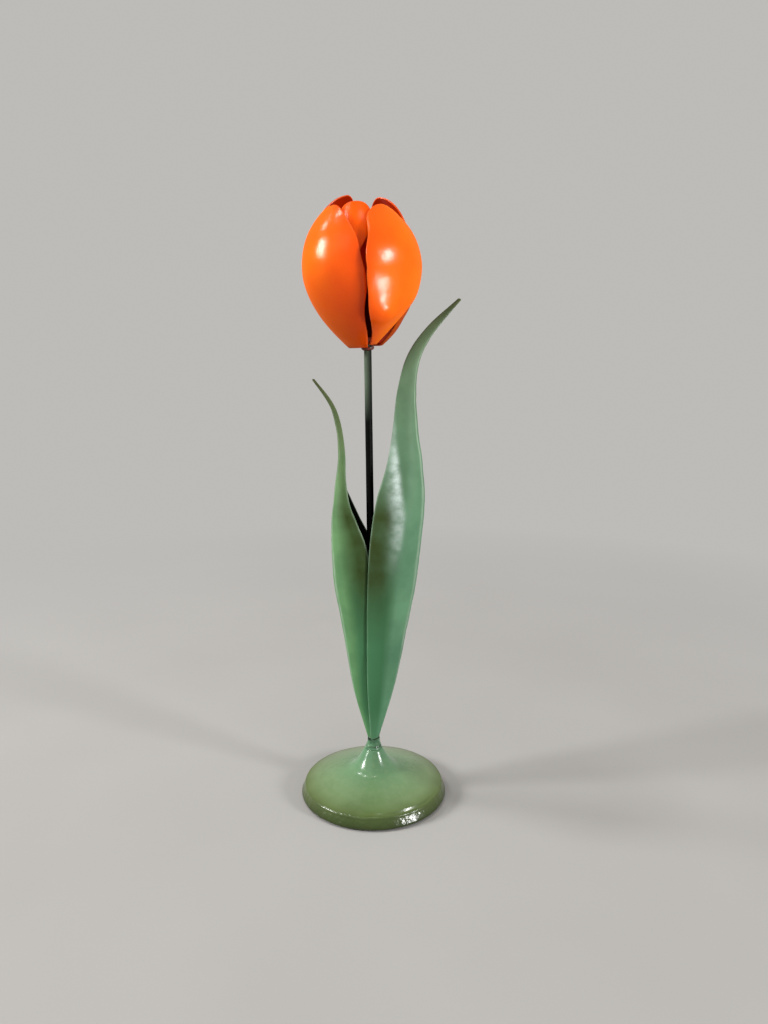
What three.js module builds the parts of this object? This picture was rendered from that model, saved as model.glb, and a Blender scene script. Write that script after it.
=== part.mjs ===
// Metal tulip: a sheet-metal flower and two folded leaves on a rod stem, standing on a round foot.
// Millimetres, +Z up, front towards -Y. The origin is the middle of the underside.

import * as THREE from 'three';

// Clearances
const WELD_GAP = 0.3;
const SOCKET_CLEARANCE = 0.6;
const TAB_CLEARANCE = 0.6;

// Foot: a disc with a sloping rim, a gentle dome and a flared neck, on a thin pad
const PAD_RADIUS = 48;
const PAD_THICKNESS = 1;
const FOOT_RADIUS = 50;
const RIM_LIP = 1.4;
const SHOULDER_RADIUS = 48;
const SHOULDER_HEIGHT = 8;
const SHOULDER_ROUND = 1.8;
const DOME_RISE = 9;
const DOME_EASE = 0.4;
const DOME_BULGE = 1.2;
const FLARE_RADIUS = 19;
const FLARE_REACH = 5;
const FLARE_LIFT = 9;
const FLARE_SPREAD = 4.6;
const NECK_RADIUS = 5.9;
const NECK_HEIGHT = 32;

// Stem: a straight rod that leans to the left, set in a socket in the neck
const STEM_RADIUS = 2.4;
const STEM_LEAN = 0.63;
const SOCKET_DEPTH = 20;
const WELD_HEIGHT = 8.2;
const WELD_TOP_WALL = 0.9;
const WELD_LUMP = 0.35;
const WELD_LUMPS = 3;

// Leaves: sheet folded along a keel, which is sharp and has halves that bulge between keel and lip, but
// not at foot and tip. The far half of the small leaf is deeper than the near one.
const LEAF_SHEET = 1;
const KEEL_SHARPNESS = 0.5;
const LEAF_BULGE = 1.7;
const BULGE_LOW = 0.7;
const SMALL_SKEW = 0.08;
const LEAF_ROWS = 30;
const LEAF_COLUMNS = 10;

// Stations of a leaf: share of its height, keel from the stem, depth from keel to lips, half the
// spread of the lips, turn of the section in degrees, rise of the lips over the keel. The room that
// the stem takes is added to keel and spread in full at the foot and fades out to the tip.
const LARGE_LEAF = [
  [0, 0, 4.7, 0, 0, 0],
  [0.13, 11.5, 17.6, 2.7, 0, 0],
  [0.271, 20.4, 25.9, 4.4, 0, 0],
  [0.375, 26.7, 31, 6.4, 0, 0],
  [0.478, 30.8, 32.8, 8, 0, 0],
  [0.57, 33.4, 30.1, 8.7, 4, 0],
  [0.65, 32.2, 20.6, 9.1, 10, 0],
  [0.725, 29.6, 13.1, 7.6, 18, 0],
  [0.811, 28.7, 9, 5, 24, 0],
  [0.88, 31.9, 6, 3.4, 28, 1.5],
  [0.938, 41.8, 3.4, 2.2, 30, 2],
  [1, 57.9, 0.8, 0.7, 30, 0.6],
];
const SMALL_LEAF = [
  [0, 0, 2.1, 0, 0, 0],
  [0.144, 9.4, 12.7, 1.5, 0, 0],
  [0.325, 16.4, 21.4, 2.7, 0, 0],
  [0.449, 21.5, 26, 4.8, 0, 0],
  [0.556, 23, 23.8, 7, 0, 0],
  [0.63, 23, 16.3, 6.8, 0, 0],
  [0.679, 21.9, 10.2, 5.1, 0, 0],
  [0.733, 20.4, 5.3, 3, 15, 0],
  [0.811, 18.3, 2.2, 1.9, 30, 0],
  [0.885, 20.2, 1.4, 1.9, 30, 0.5],
  [0.94, 24.6, 0.9, 1.4, 30, 0.5],
  [1, 34.9, 0.2, 0.7, 30, 0.4],
];
const LARGE_TIP_OVER_FLOWER = 27.5;
const SMALL_TIP_UNDER_FLOWER = 20.5;

// Flower: the cup of petals, tilted to the left and to the front
const FLOWER_HEIGHT = 305;
const FLOWER_TILT_LEFT = 3.6;
const FLOWER_TILT_FRONT = 5;
const PETAL_SHEET = 1;
const PETAL_GAP = 1.5;
const PETAL_CUP = 0.16;
const FLOOR_RADIUS = 12.3;
const RIGHT_FLOOR_RADIUS = 9.5;
const INNER_STEP = 3.5;
const SHIELD_STEP = 2;
const BELLY_RADIUS = 37.6;
const BELLY_HEIGHT = 46;
const BELLY_SHARE = 0.52;
const LOWER_HANDLE = [13.5, 13.5];
const RIGHT_HANDLE = [19, 13.5];
const BELLY_DROP = 16;
const BACK_DROP = 21;
const BELLY_LIFT = 16;
const TIP_HANDLE = [11, 10.5];
const TIP_HALF = 0.8;
const EDGE_WAVE = 1.3;
const EDGE_WAVES = 2.5;
const EDGE_PHASE = 1.2;
const PETAL_ROWS = 15;
const TAB_ROWS = 2;
const ROW_CROWDING = 1.7;
const PETAL_COLUMNS = 10;
const COLLAR_HEIGHT = 2;
const COLLAR_WALL = 0.8;
const CAP_RADIUS = 6.5;
const CAP_HEIGHT = 3;

// Places of the outer petals round the axis, in degrees: the seam between the front two, half of what
// each of these spans, the gaps at the two seams, and how far the back petals are tucked in behind
// the front ones. The back petals share the rest of the round.
const FRONT_SEAM = 4.8;
const FRONT_SPAN = 42.7;
const FRONT_SEAM_GAP = 4.6;
const BACK_SEAM_GAP = 4.4;
const TUCK = 5.5;
const BACK_SPAN = (360 - FRONT_SEAM_GAP - BACK_SEAM_GAP - 4 * FRONT_SPAN + 2 * TUCK) / 4;
const FRONT_OFFSET = FRONT_SEAM_GAP / 2 + FRONT_SPAN;
const BACK_OFFSET = 180 - BACK_SEAM_GAP / 2 - BACK_SPAN;

// Outline of a petal: half the angle that it spans at the widest, where that lies along the length, how
// blunt its tip is, and the share of the length over which the turn of its foot fades
const FRONT_BLANK = { span: FRONT_SPAN, widest: 0.5, blunt: 1.9, fade: 0.52 };
const BACK_BLANK = { span: BACK_SPAN, widest: 0.5, blunt: 1.75, fade: 0.52 };
const TONGUE_BLANK = { span: 24, widest: 0.86, blunt: 2.4, fade: 0.9 };
const SHIELD_BLANK = { span: 34, widest: 0.55, blunt: 1.8, fade: 0.52 };

// Dent and bulge of the front right petal beside the seam: share of the length, length, place across, width
const BULGE_SHARE = 0.19;
const BULGE_LENGTH = 0.08;
const BULGE_SIDE = -0.5;
const BULGE_WIDTH = 0.5;

// What makes a petal uneven: how much one side of its tip is cut back, the first one above zero, how far
// its first edge reaches on at the foot in degrees, how far that edge stands out, and the bulge's height
const EVEN = { tipLean: 0, footReach: 0, edgeStand: 0, bulge: 0 };

// Petals: azimuth from the front, turn of the foot and of the tip, half angle at the foot in degrees,
// how late the petal swells to its widest, height of the tip and its distance from the axis
const FRONT_LEFT = {
  ...EVEN, azimuth: FRONT_SEAM - FRONT_OFFSET, footTurn: 2, tipTurn: 0, footAngle: 47, swell: 1,
  tipHeight: 82, tipRadius: 20, tipLean: -0.34,
};
const FRONT_RIGHT = {
  ...EVEN, azimuth: FRONT_SEAM + FRONT_OFFSET, footTurn: -26, tipTurn: 0, footAngle: 17, swell: 1.6,
  tipHeight: 81, tipRadius: 19, tipLean: -0.2, edgeStand: 4.5, bulge: 6,
};
const BACK_RIGHT = {
  ...EVEN, azimuth: FRONT_SEAM + BACK_OFFSET, footTurn: -10, tipTurn: 4, footAngle: 47, swell: 1,
  tipHeight: 87.5, tipRadius: 20, tipLean: -0.3, footReach: 25, edgeStand: -2, bulge: -1.8,
};
const BACK_LEFT = {
  ...EVEN, azimuth: FRONT_SEAM - BACK_OFFSET, footTurn: 0, tipTurn: -32, footAngle: 34, swell: 4,
  tipHeight: 90, tipRadius: 14, tipLean: 0.45,
};

// The inner petals cover the seams. Their tips keep clear of the lower and the closer of two tips.
const TONGUE_TURN = 6.8;
const TONGUE_RISE = 2.5;
const TONGUE_INSET = 4.5;
const SHIELD_DROP = 11.5;
const SHIELD_OUTSET = 3;
const FRONT_INNER = {
  ...EVEN, azimuth: FRONT_SEAM - TONGUE_TURN, footTurn: -22, tipTurn: 0, footAngle: 10, swell: 14,
  tipHeight: Math.min(FRONT_LEFT.tipHeight, FRONT_RIGHT.tipHeight) + TONGUE_RISE,
  tipRadius: Math.min(FRONT_LEFT.tipRadius, FRONT_RIGHT.tipRadius) - TONGUE_INSET,
};
const BACK_INNER = {
  ...EVEN, azimuth: FRONT_SEAM + 180, footTurn: 0, tipTurn: 0, footAngle: 26, swell: 1,
  tipHeight: Math.min(BACK_LEFT.tipHeight, BACK_RIGHT.tipHeight) - SHIELD_DROP,
  tipRadius: Math.min(BACK_LEFT.tipRadius, BACK_RIGHT.tipRadius) + SHIELD_OUTSET,
};

// Finishes
const LEAF_GREEN = { color: 0x5f8f68, roughness: 0.35, metalness: 0.1 };
const FOOT_GREEN = { color: 0x7d9a66, roughness: 0.3, metalness: 0.1 };
const STEM_GREEN = { color: 0x1c2a20, roughness: 0.3, metalness: 0.1 };
const PETAL_ORANGE = { color: 0xf2600c, roughness: 0.25, metalness: 0.1 };
const COLLAR_RED = { color: 0x6a1d08, roughness: 0.4, metalness: 0.1 };
const PAD_BLACK = { color: 0x161616, roughness: 0.9, metalness: 0 };

const SEGMENTS_FOOT = 48;
const SEGMENTS_SMALL = 24;
const CURVE_STEPS = 5;

const NECK_TOP = PAD_THICKNESS + NECK_HEIGHT;
const LEAF_FOOT = WELD_HEIGHT + WELD_GAP;
const radians = THREE.MathUtils.degToRad;

function piece(name, geometry, finish) {
  const mesh = new THREE.Mesh(geometry, new THREE.MeshStandardMaterial(finish));
  mesh.name = name;
  return mesh;
}

// Solid of revolution about Z from a closed or axis-to-axis path of radius and height
function turned(path, segments) {
  const geometry = new THREE.LatheGeometry(path.getPoints(CURVE_STEPS), segments);
  geometry.rotateX(Math.PI / 2);
  return geometry;
}

// Closed sheet of even thickness round a grid of middle points
function sheet(grid, thickness) {
  const rows = grid.length - 1;
  const columns = grid[0].length - 1;
  const positions = [];
  const along = new THREE.Vector3();
  const across = new THREE.Vector3();
  for (const side of [1, -1]) {
    for (let i = 0; i <= rows; i++) {
      for (let j = 0; j <= columns; j++) {
        along.subVectors(grid[Math.min(i + 1, rows)][j], grid[Math.max(i - 1, 0)][j]);
        across.subVectors(grid[i][Math.min(j + 1, columns)], grid[i][Math.max(j - 1, 0)]);
        const normal = along.cross(across).normalize();
        positions.push(...normal.multiplyScalar(side * thickness / 2).add(grid[i][j]));
      }
    }
  }
  const top = (i, j) => i * (columns + 1) + j;
  const under = (i, j) => (rows + 1) * (columns + 1) + top(i, j);
  const index = [];
  const quad = (a, b, c, d) => index.push(a, b, c, a, c, d);
  for (let i = 0; i < rows; i++) {
    for (let j = 0; j < columns; j++) {
      quad(top(i, j), top(i + 1, j), top(i + 1, j + 1), top(i, j + 1));
      quad(under(i, j), under(i, j + 1), under(i + 1, j + 1), under(i + 1, j));
    }
    quad(top(i + 1, 0), top(i, 0), under(i, 0), under(i + 1, 0));
    quad(top(i, columns), top(i + 1, columns), under(i + 1, columns), under(i, columns));
  }
  for (let j = 0; j < columns; j++) {
    quad(top(0, j), top(0, j + 1), under(0, j + 1), under(0, j));
    quad(top(rows, j + 1), top(rows, j), under(rows, j), under(rows, j + 1));
  }
  const geometry = new THREE.BufferGeometry();
  geometry.setAttribute('position', new THREE.Float32BufferAttribute(positions, 3));
  geometry.setIndex(index);
  geometry.computeVertexNormals();
  return geometry;
}

function foot() {
  const shoulder = PAD_THICKNESS + SHOULDER_HEIGHT;
  const domeTop = shoulder + DOME_RISE;
  const socketRadius = STEM_RADIUS + SOCKET_CLEARANCE;
  const socketFloor = NECK_TOP - SOCKET_DEPTH;
  const domeStart = SHOULDER_RADIUS - SHOULDER_ROUND;
  const path = new THREE.Path();
  path.moveTo(0, PAD_THICKNESS);
  path.lineTo(FOOT_RADIUS - RIM_LIP, PAD_THICKNESS);
  path.quadraticCurveTo(FOOT_RADIUS, PAD_THICKNESS, FOOT_RADIUS, PAD_THICKNESS + RIM_LIP);
  path.lineTo(SHOULDER_RADIUS, shoulder - SHOULDER_ROUND);
  path.quadraticCurveTo(SHOULDER_RADIUS, shoulder, domeStart, shoulder + DOME_EASE);
  const domeMiddle = (domeStart + FLARE_RADIUS) / 2;
  const domeCrest = (shoulder + DOME_EASE + domeTop) / 2 + DOME_BULGE;
  path.quadraticCurveTo(domeMiddle, domeCrest, FLARE_RADIUS, domeTop);
  const slope = (domeTop - domeCrest) / (domeMiddle - FLARE_RADIUS);
  path.bezierCurveTo(
    FLARE_RADIUS - FLARE_REACH, domeTop + slope * FLARE_REACH,
    NECK_RADIUS + FLARE_SPREAD, NECK_TOP - FLARE_LIFT, NECK_RADIUS, NECK_TOP,
  );
  path.lineTo(socketRadius, NECK_TOP);
  path.lineTo(socketRadius, socketFloor);
  path.lineTo(0, socketFloor);
  return piece('foot', turned(path, SEGMENTS_FOOT), FOOT_GREEN);
}

function footPad() {
  const path = new THREE.Path();
  path.moveTo(0, 0);
  path.lineTo(PAD_RADIUS, 0);
  path.lineTo(PAD_RADIUS, PAD_THICKNESS);
  path.lineTo(0, PAD_THICKNESS);
  return piece('foot_pad', turned(path, SEGMENTS_FOOT), PAD_BLACK);
}

// Lumpy weld on top of the neck, which carries the leaf feet
function neckWeld() {
  const bore = STEM_RADIUS + SOCKET_CLEARANCE;
  const topRadius = bore + WELD_TOP_WALL;
  const path = new THREE.Path();
  path.moveTo(bore, 0);
  path.lineTo(NECK_RADIUS, 0);
  path.quadraticCurveTo(topRadius, WELD_HEIGHT / 2, topRadius, WELD_HEIGHT);
  path.lineTo(bore, WELD_HEIGHT);
  path.lineTo(bore, 0);
  const geometry = turned(path, SEGMENTS_SMALL);
  const position = geometry.attributes.position;
  const point = new THREE.Vector3();
  for (let i = 0; i < position.count; i++) {
    point.fromBufferAttribute(position, i);
    const radius = Math.hypot(point.x, point.y);
    if (radius > bore + WELD_TOP_WALL / 2) {
      const angle = Math.atan2(point.y, point.x);
      const fade = Math.sin(Math.PI * point.z / WELD_HEIGHT);
      const lump = WELD_LUMP * fade * Math.sin(WELD_LUMPS * angle + point.z);
      const stretch = (radius + lump) / radius;
      position.setXY(i, point.x * stretch, point.y * stretch);
    }
  }
  const weld = piece('neck_weld', geometry, FOOT_GREEN);
  weld.position.z = NECK_TOP;
  return weld;
}

// The stem runs from the socket to the top of the petal tabs. Heights are from the neck's top.
function stem() {
  const bottom = WELD_GAP - SOCKET_DEPTH;
  const top = FLOWER_HEIGHT - NECK_TOP + 2 * PETAL_SHEET;
  const geometry = new THREE.CylinderGeometry(STEM_RADIUS, STEM_RADIUS, top - bottom, SEGMENTS_SMALL);
  geometry.rotateX(Math.PI / 2);
  geometry.translate(0, 0, (top + bottom) / 2);
  return piece('stem', geometry, STEM_GREEN);
}

// A leaf opens towards the stem. side is 1 for a keel on the right and -1 for one on the left.
// keelRoom and lipRoom are the room at the foot from the stem's axis to the middle of the sheet. skew
// is how much deeper the far half is than the near one.
function leaf(name, stations, side, length, keelRoom, lipRoom, skew) {
  const keels = [];
  const sections = [];
  stations.forEach(([share, keel, depth, spread, turn, rise], i) => {
    const fade = 1 - i / (stations.length - 1);
    keels.push(new THREE.Vector3(keel + keelRoom * fade, spread + lipRoom * fade, share * length));
    sections.push(new THREE.Vector3(depth, radians(turn), rise));
  });
  const keelCurve = new THREE.CatmullRomCurve3(keels, false, 'catmullrom');
  const sectionCurve = new THREE.CatmullRomCurve3(sections, false, 'catmullrom');
  const grid = [];
  for (let i = 0; i <= LEAF_ROWS; i++) {
    const [keel, spread, height] = keelCurve.getPoint(i / LEAF_ROWS).toArray();
    const [depth, turn, rise] = sectionCurve.getPoint(i / LEAF_ROWS).toArray();
    const swollen = Math.sin(Math.PI * (height / length) ** BULGE_LOW) ** 2;
    const roundness = 2 - KEEL_SHARPNESS * swollen;
    const row = [];
    for (let j = 0; j <= LEAF_COLUMNS; j++) {
      const v = 2 * j / LEAF_COLUMNS - 1;
      const inward = depth * Math.abs(v) ** roundness * (1 + skew * swollen * v);
      const aside = spread * v * (1 + LEAF_BULGE * swollen * (1 - v * v));
      const x = keel - inward * Math.cos(turn) + aside * Math.sin(turn);
      const y = inward * Math.sin(turn) + aside * Math.cos(turn);
      row.push(new THREE.Vector3(side * x, y, LEAF_FOOT + height + rise * v * v));
    }
    grid.push(row);
  }
  return piece(name, sheet(grid, LEAF_SHEET), LEAF_GREEN);
}

// Middle line of a petal at a share of its length, from the edge of the cup's floor to the tip
function petalLine(whorl, spec, share) {
  const waist = new THREE.Vector2(whorl.belly, BELLY_HEIGHT);
  if (share < BELLY_SHARE) {
    const start = new THREE.Vector2(whorl.floorRadius, whorl.floor);
    const rise = new THREE.Vector2(...whorl.handle).add(start);
    const drop = new THREE.Vector2(whorl.belly, BELLY_HEIGHT - whorl.drop);
    return new THREE.CubicBezierCurve(start, rise, drop, waist).getPoint(share / BELLY_SHARE);
  }
  const lift = new THREE.Vector2(whorl.belly, BELLY_HEIGHT + BELLY_LIFT);
  const curl = new THREE.Vector2(spec.tipRadius + TIP_HANDLE[0], spec.tipHeight - TIP_HANDLE[1]);
  const end = new THREE.Vector2(spec.tipRadius, spec.tipHeight);
  const rest = (share - BELLY_SHARE) / (1 - BELLY_SHARE);
  return new THREE.CubicBezierCurve(waist, lift, curl, end).getPoint(rest);
}

// Half the angle round its own bend of a petal that spans a half angle round the flower's axis
function bendAngle(span) {
  const polar = radians(span);
  return polar + Math.asin(Math.sin(polar) * PETAL_CUP / (1 - PETAL_CUP));
}

// The same half angle at a share of a petal's length
function halfAngle(whorl, spec, share) {
  const { span, widest, blunt } = whorl.blank;
  const full = bendAngle(span);
  if (share < widest) {
    const swollen = Math.sin(Math.PI / 2 * share / widest) ** spec.swell;
    return THREE.MathUtils.lerp(radians(spec.footAngle), full, swollen);
  }
  const bendAt = (at) => (1 - PETAL_CUP) * petalLine(whorl, spec, at).x;
  const rest = (share - widest) / (1 - widest);
  const half = full * bendAt(widest) * (1 - rest ** blunt) ** (1 / blunt);
  return Math.max(TIP_HALF, half) / bendAt(share);
}

// Bell curve of height one round zero
function bell(x) {
  return Math.exp(-x * x / 2);
}

// A petal is a tab bent in under the cup and a blade dished across, with a wavy edge
function petal(name, whorl, spec) {
  const hole = STEM_RADIUS + TAB_CLEARANCE;
  const grid = [];
  for (let i = -TAB_ROWS; i <= PETAL_ROWS; i++) {
    const share = 1 - (1 - Math.max(0, i) / PETAL_ROWS) ** ROW_CROWDING;
    const [radius, height] = petalLine(whorl, spec, share).toArray();
    const reach = i < 0 ? THREE.MathUtils.lerp(radius, hole, -i / TAB_ROWS) : radius;
    const footTurn = spec.footTurn * Math.max(0, 1 - share / whorl.blank.fade);
    const taper = Math.max(0, share - BELLY_SHARE) / (1 - BELLY_SHARE);
    const turn = radians(spec.azimuth + footTurn + spec.tipTurn * taper ** 2);
    const bend = reach * (1 - PETAL_CUP);
    const half = halfAngle(whorl, spec, share);
    const reachOn = radians(spec.footReach) * Math.max(0, 1 - share / whorl.blank.fade);
    const hump = spec.bulge * bell((share - BULGE_SHARE) / BULGE_LENGTH) * Math.min(1, share / BULGE_SHARE);
    const row = [];
    for (let j = 0; j <= PETAL_COLUMNS; j++) {
      const v = 2 * j / PETAL_COLUMNS - 1;
      const first = Math.max(0, -v);
      const wave = Math.sin(2 * Math.PI * EDGE_WAVES * share + EDGE_PHASE * v) * Math.sin(Math.PI * share);
      const narrowed = half * (1 + taper * Math.min(0, spec.tipLean * v));
      const angle = v * (narrowed + EDGE_WAVE * wave / bend) - first * reachOn;
      const edge = spec.edgeStand * first ** 2 * Math.sin(Math.PI * share);
      const stand = 1 + (edge + hump * bell((v - BULGE_SIDE) / BULGE_WIDTH)) / reach;
      const outward = (reach * PETAL_CUP + bend * Math.cos(angle)) * stand;
      const aside = bend * Math.sin(angle) * stand;
      const x = outward * Math.sin(turn) + aside * Math.cos(turn);
      const y = aside * Math.sin(turn) - outward * Math.cos(turn);
      row.push(new THREE.Vector3(x, y, height));
    }
    grid.push(row);
  }
  return piece(name, sheet(grid, PETAL_SHEET), PETAL_ORANGE);
}

// Small bead under the petal tabs
function petalCollar() {
  const bore = STEM_RADIUS + TAB_CLEARANCE;
  const path = new THREE.Path();
  path.moveTo(bore, -COLLAR_HEIGHT);
  path.quadraticCurveTo(bore + 2 * COLLAR_WALL, -COLLAR_HEIGHT / 2, bore + COLLAR_WALL, 0);
  path.lineTo(bore, 0);
  path.lineTo(bore, -COLLAR_HEIGHT);
  const collar = piece('petal_collar', turned(path, SEGMENTS_SMALL), COLLAR_RED);
  collar.position.z = -WELD_GAP;
  return collar;
}

// Domed weld inside the cup, over the tabs and the end of the stem
function petalCap(floor) {
  const path = new THREE.Path();
  path.moveTo(0, 0);
  path.lineTo(CAP_RADIUS, 0);
  path.quadraticCurveTo(CAP_RADIUS, CAP_HEIGHT, 0, CAP_HEIGHT);
  const cap = piece('petal_cap', turned(path, SEGMENTS_SMALL), COLLAR_RED);
  cap.position.z = floor;
  return cap;
}

// Radius of a petal's edges at the belly, where they lie closer in than its middle
function edgeRadius(belly, span) {
  const centre = belly * PETAL_CUP;
  const polar = radians(span);
  return centre * Math.cos(polar) + Math.sqrt((belly - centre) ** 2 - (centre * Math.sin(polar)) ** 2);
}

// The back petals are tucked in behind the edges of the front ones, and the inner petals behind the
// edges of both. The tabs lie on two floors.
function flower() {
  const step = PETAL_SHEET + PETAL_GAP;
  const lowerFloor = PETAL_SHEET / 2;
  const upperFloor = lowerFloor + PETAL_SHEET + WELD_GAP;
  const left = {
    belly: BELLY_RADIUS,
    drop: BELLY_DROP,
    floorRadius: FLOOR_RADIUS,
    handle: LOWER_HANDLE,
    floor: lowerFloor,
    blank: FRONT_BLANK,
  };
  const right = { ...left, floor: upperFloor, floorRadius: RIGHT_FLOOR_RADIUS, handle: RIGHT_HANDLE };
  const backLeft = { ...left, belly: BELLY_RADIUS - step, drop: BACK_DROP, blank: BACK_BLANK };
  const backRight = { ...backLeft, floorRadius: RIGHT_FLOOR_RADIUS, handle: RIGHT_HANDLE };
  const inside = { ...left, floor: upperFloor, floorRadius: FLOOR_RADIUS - INNER_STEP };
  const tongueBelly = edgeRadius(left.belly, FRONT_SPAN) - step;
  const shieldBelly = edgeRadius(backLeft.belly, BACK_SPAN) - step;
  const tongue = { ...inside, belly: tongueBelly, blank: TONGUE_BLANK };
  const shieldFloor = RIGHT_FLOOR_RADIUS - SHIELD_STEP;
  const shield = { ...inside, belly: shieldBelly, floorRadius: shieldFloor, blank: SHIELD_BLANK };
  const group = new THREE.Group();
  group.add(petal('outer_petal_front_left', left, FRONT_LEFT));
  group.add(petal('outer_petal_front_right', right, FRONT_RIGHT));
  group.add(petal('outer_petal_back_right', backRight, BACK_RIGHT));
  group.add(petal('outer_petal_back_left', backLeft, BACK_LEFT));
  group.add(petal('inner_petal_front', tongue, FRONT_INNER));
  group.add(petal('inner_petal_back', shield, BACK_INNER));
  group.add(petalCollar(), petalCap(upperFloor + PETAL_SHEET / 2 + WELD_GAP));
  group.position.z = FLOWER_HEIGHT - NECK_TOP;
  group.rotation.set(radians(FLOWER_TILT_FRONT), -radians(FLOWER_TILT_LEFT), 0);
  return group;
}

// The large leaf closes round the lips of the small one
function plant() {
  const room = STEM_RADIUS + LEAF_SHEET / 2 + 2 * WELD_GAP;
  const outerRoom = room + LEAF_SHEET + 2 * WELD_GAP;
  const toFlower = FLOWER_HEIGHT - NECK_TOP - LEAF_FOOT;
  const group = new THREE.Group();
  group.add(stem(), flower());
  group.add(leaf('large_leaf', LARGE_LEAF, 1, toFlower + LARGE_TIP_OVER_FLOWER, room, outerRoom, 0));
  group.add(leaf('small_leaf', SMALL_LEAF, -1, toFlower - SMALL_TIP_UNDER_FLOWER, room, room, SMALL_SKEW));
  group.position.z = NECK_TOP;
  group.rotation.y = -radians(STEM_LEAN);
  return group;
}

const tulip = new THREE.Group();
tulip.add(foot(), footPad(), neckWeld(), plant());

export default tulip;
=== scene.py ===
# Metal tulip: the looks of the flower, the leaves, the stem and the foot.
# Sizes are in millimetres and turn into metres when a mesh is made. +Z is up, the front is towards -Y.

import math
import bpy
import numpy as np
from mathutils import Matrix, Vector, noise


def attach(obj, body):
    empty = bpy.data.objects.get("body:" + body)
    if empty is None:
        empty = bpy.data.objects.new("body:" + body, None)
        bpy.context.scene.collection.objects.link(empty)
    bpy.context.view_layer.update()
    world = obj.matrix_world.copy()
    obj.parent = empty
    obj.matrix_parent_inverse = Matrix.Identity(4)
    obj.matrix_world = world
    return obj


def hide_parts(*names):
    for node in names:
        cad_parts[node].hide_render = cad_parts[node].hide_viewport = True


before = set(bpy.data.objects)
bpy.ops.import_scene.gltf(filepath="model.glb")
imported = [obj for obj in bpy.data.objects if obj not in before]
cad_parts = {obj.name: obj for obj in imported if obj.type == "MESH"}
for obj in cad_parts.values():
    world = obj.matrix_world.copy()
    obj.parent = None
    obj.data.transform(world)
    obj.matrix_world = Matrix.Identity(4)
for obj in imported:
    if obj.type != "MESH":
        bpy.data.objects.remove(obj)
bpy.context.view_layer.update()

MM = 0.001
radians = math.radians

# Steps round the rim of a sheet, and how far apart the bumps of two seeds in a row are drawn
RIM_STEPS = 4
SEED_SHIFT = (17.3, 5.1, 9.7)

# Fineness of the turned pieces: segments round Z, and steps along the curves of their profiles
FOOT_SEGMENTS = 160
PAD_SEGMENTS = 96
WELD_SEGMENTS = 64
STEM_SEGMENTS = 40
COLLAR_SEGMENTS = 48
EDGE_STEPS = 6
SHOULDER_STEPS = 8
DOME_STEPS = 18
FLARE_STEPS = 30
PAD_STEPS = 4
WELD_STEPS = 24
STEM_STEPS = 90
COLLAR_STEPS = 10
CAP_STEPS = 14

# Camera: place in metres, pitch in degrees
CAMERA_PLACE = (0.00724, -0.49362, 0.2948)
CAMERA_PITCH = 79.03
CAMERA_LENS = 27.04
CAMERA_SENSOR = 36

# Foot
PAD_RADIUS = 48
PAD_THICKNESS = 1
PAD_ROUND = 0.3
FOOT_RADIUS = 50
RIM_LIP = 1.4
SHOULDER_RADIUS = 48
SHOULDER = 9
SHOULDER_ROUND = 1.8
DOME_EASE = 0.4
DOME_TOP = 18
DOME_BULGE = 1.2
FLARE_RADIUS = 19
FLARE_REACH = 5
FLARE_LIFT = 9
FLARE_SPREAD = 4.6
NECK_RADIUS = 5.9
NECK_TOP = 33

# Waves of the foot's surface: height over which they start, how far they keep from the bore, then their
# size, depth and seed, sideways and upwards
FOOT_WAVE_START = 6
FOOT_SKIN = 1
FOOT_WAVE_SIDE = (22, 0.25, 9)
FOOT_WAVE_UP = (18, 0.2, 10)

# Flattened stretch of the rim: how steeply it leans back, its middle and half its length in degrees
LEAN = 0.19
LEAN_TURN = 31
LEAN_WIDTH = 16
LEAN_HEIGHT = 7
RIM_START = 46

# Where the foot's lacquer is lumpy, as radii and strengths, and the radii between which its flecks end
LUMPY_RADII = (8, 13, RIM_START, SHOULDER_RADIUS)
LUMPY_STRENGTHS = (0.3, 0, 0, 1)
FLECK_RADII = (30, 45)

# Stem, weld and the gaps at them
STEM_RADIUS = 2.4
STEM_LEAN = 0.63
STEM_CHAMFER = 0.3
STEM_END = 3
STEM_CLEARANCE = 0.6
SOCKET_DEPTH = 20
WELD_HEIGHT = 8.2
WELD_TOP_RADIUS = 3.9
WELD_GAP = 0.3
SEAM = 0.02

# Wobble of the stem, as size, depth and seed, drawn out along it, and its painted light and shadow: the
# upper part is lit on its left and the lower part near black as in shadow; the heights between which the lit
# part starts, how lit the middle is and how fast this falls off to the right
STEM_WOBBLE = (4, 0.06, 13)
STEM_STRETCH = (1, 1, 0.25)
STEM_LIT_HEIGHTS = (225, 250)
STEM_LIT_SIDE = 0.45
STEM_LIT_FALL = 0.9

# Lumps of the weld, as size, depth and seed, and how far they keep from the bore
WELD_LUMPS = (3.2, 0.55, 11)
WELD_FINE_LUMPS = (1.6, 0.3, 12)
WELD_SKIN = 0.5

# Dark creases of the weld, painted shade in its hollows: a low one, broken by bumps, and one under its
# slanted top, with the depth where it starts and the length over which it grows
WELD_CREASE_HEIGHT = 2
WELD_CREASE_WIDTH = 0.318
WELD_CREASE_FULL = 0.7
WELD_CREASE_BREAKS = (3, 1, 16)
WELD_CREASE_SLANT = 0.5
WELD_TOP_CREASE = (1.76, 1.1)

# Leaves
LEAF_SHEET = 1
LEAF_FOOT = 8.5
LEAF_ROWS = 170
LEAF_COLUMNS = 56
LARGE_LENGTH = 291
SMALL_LENGTH = 243
KEEL_ROOM = 3.5
LARGE_LIP_ROOM = 5.1
SMALL_LIP_ROOM = 3.5
KEEL_SHARPNESS = 0.5
LEAF_BULGE = 1.7
BULGE_LOW = 0.7
SMALL_SKEW = 0.08

# Dents beaten into a sheet: share of its length over which they start, size and depth
DENT_FADE = 0.3
LEAF_DENTS = (13, 0.28)
LEAF_FINE_DENTS = (5, 0.12)
PETAL_DENTS = (15, 0.32)
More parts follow.
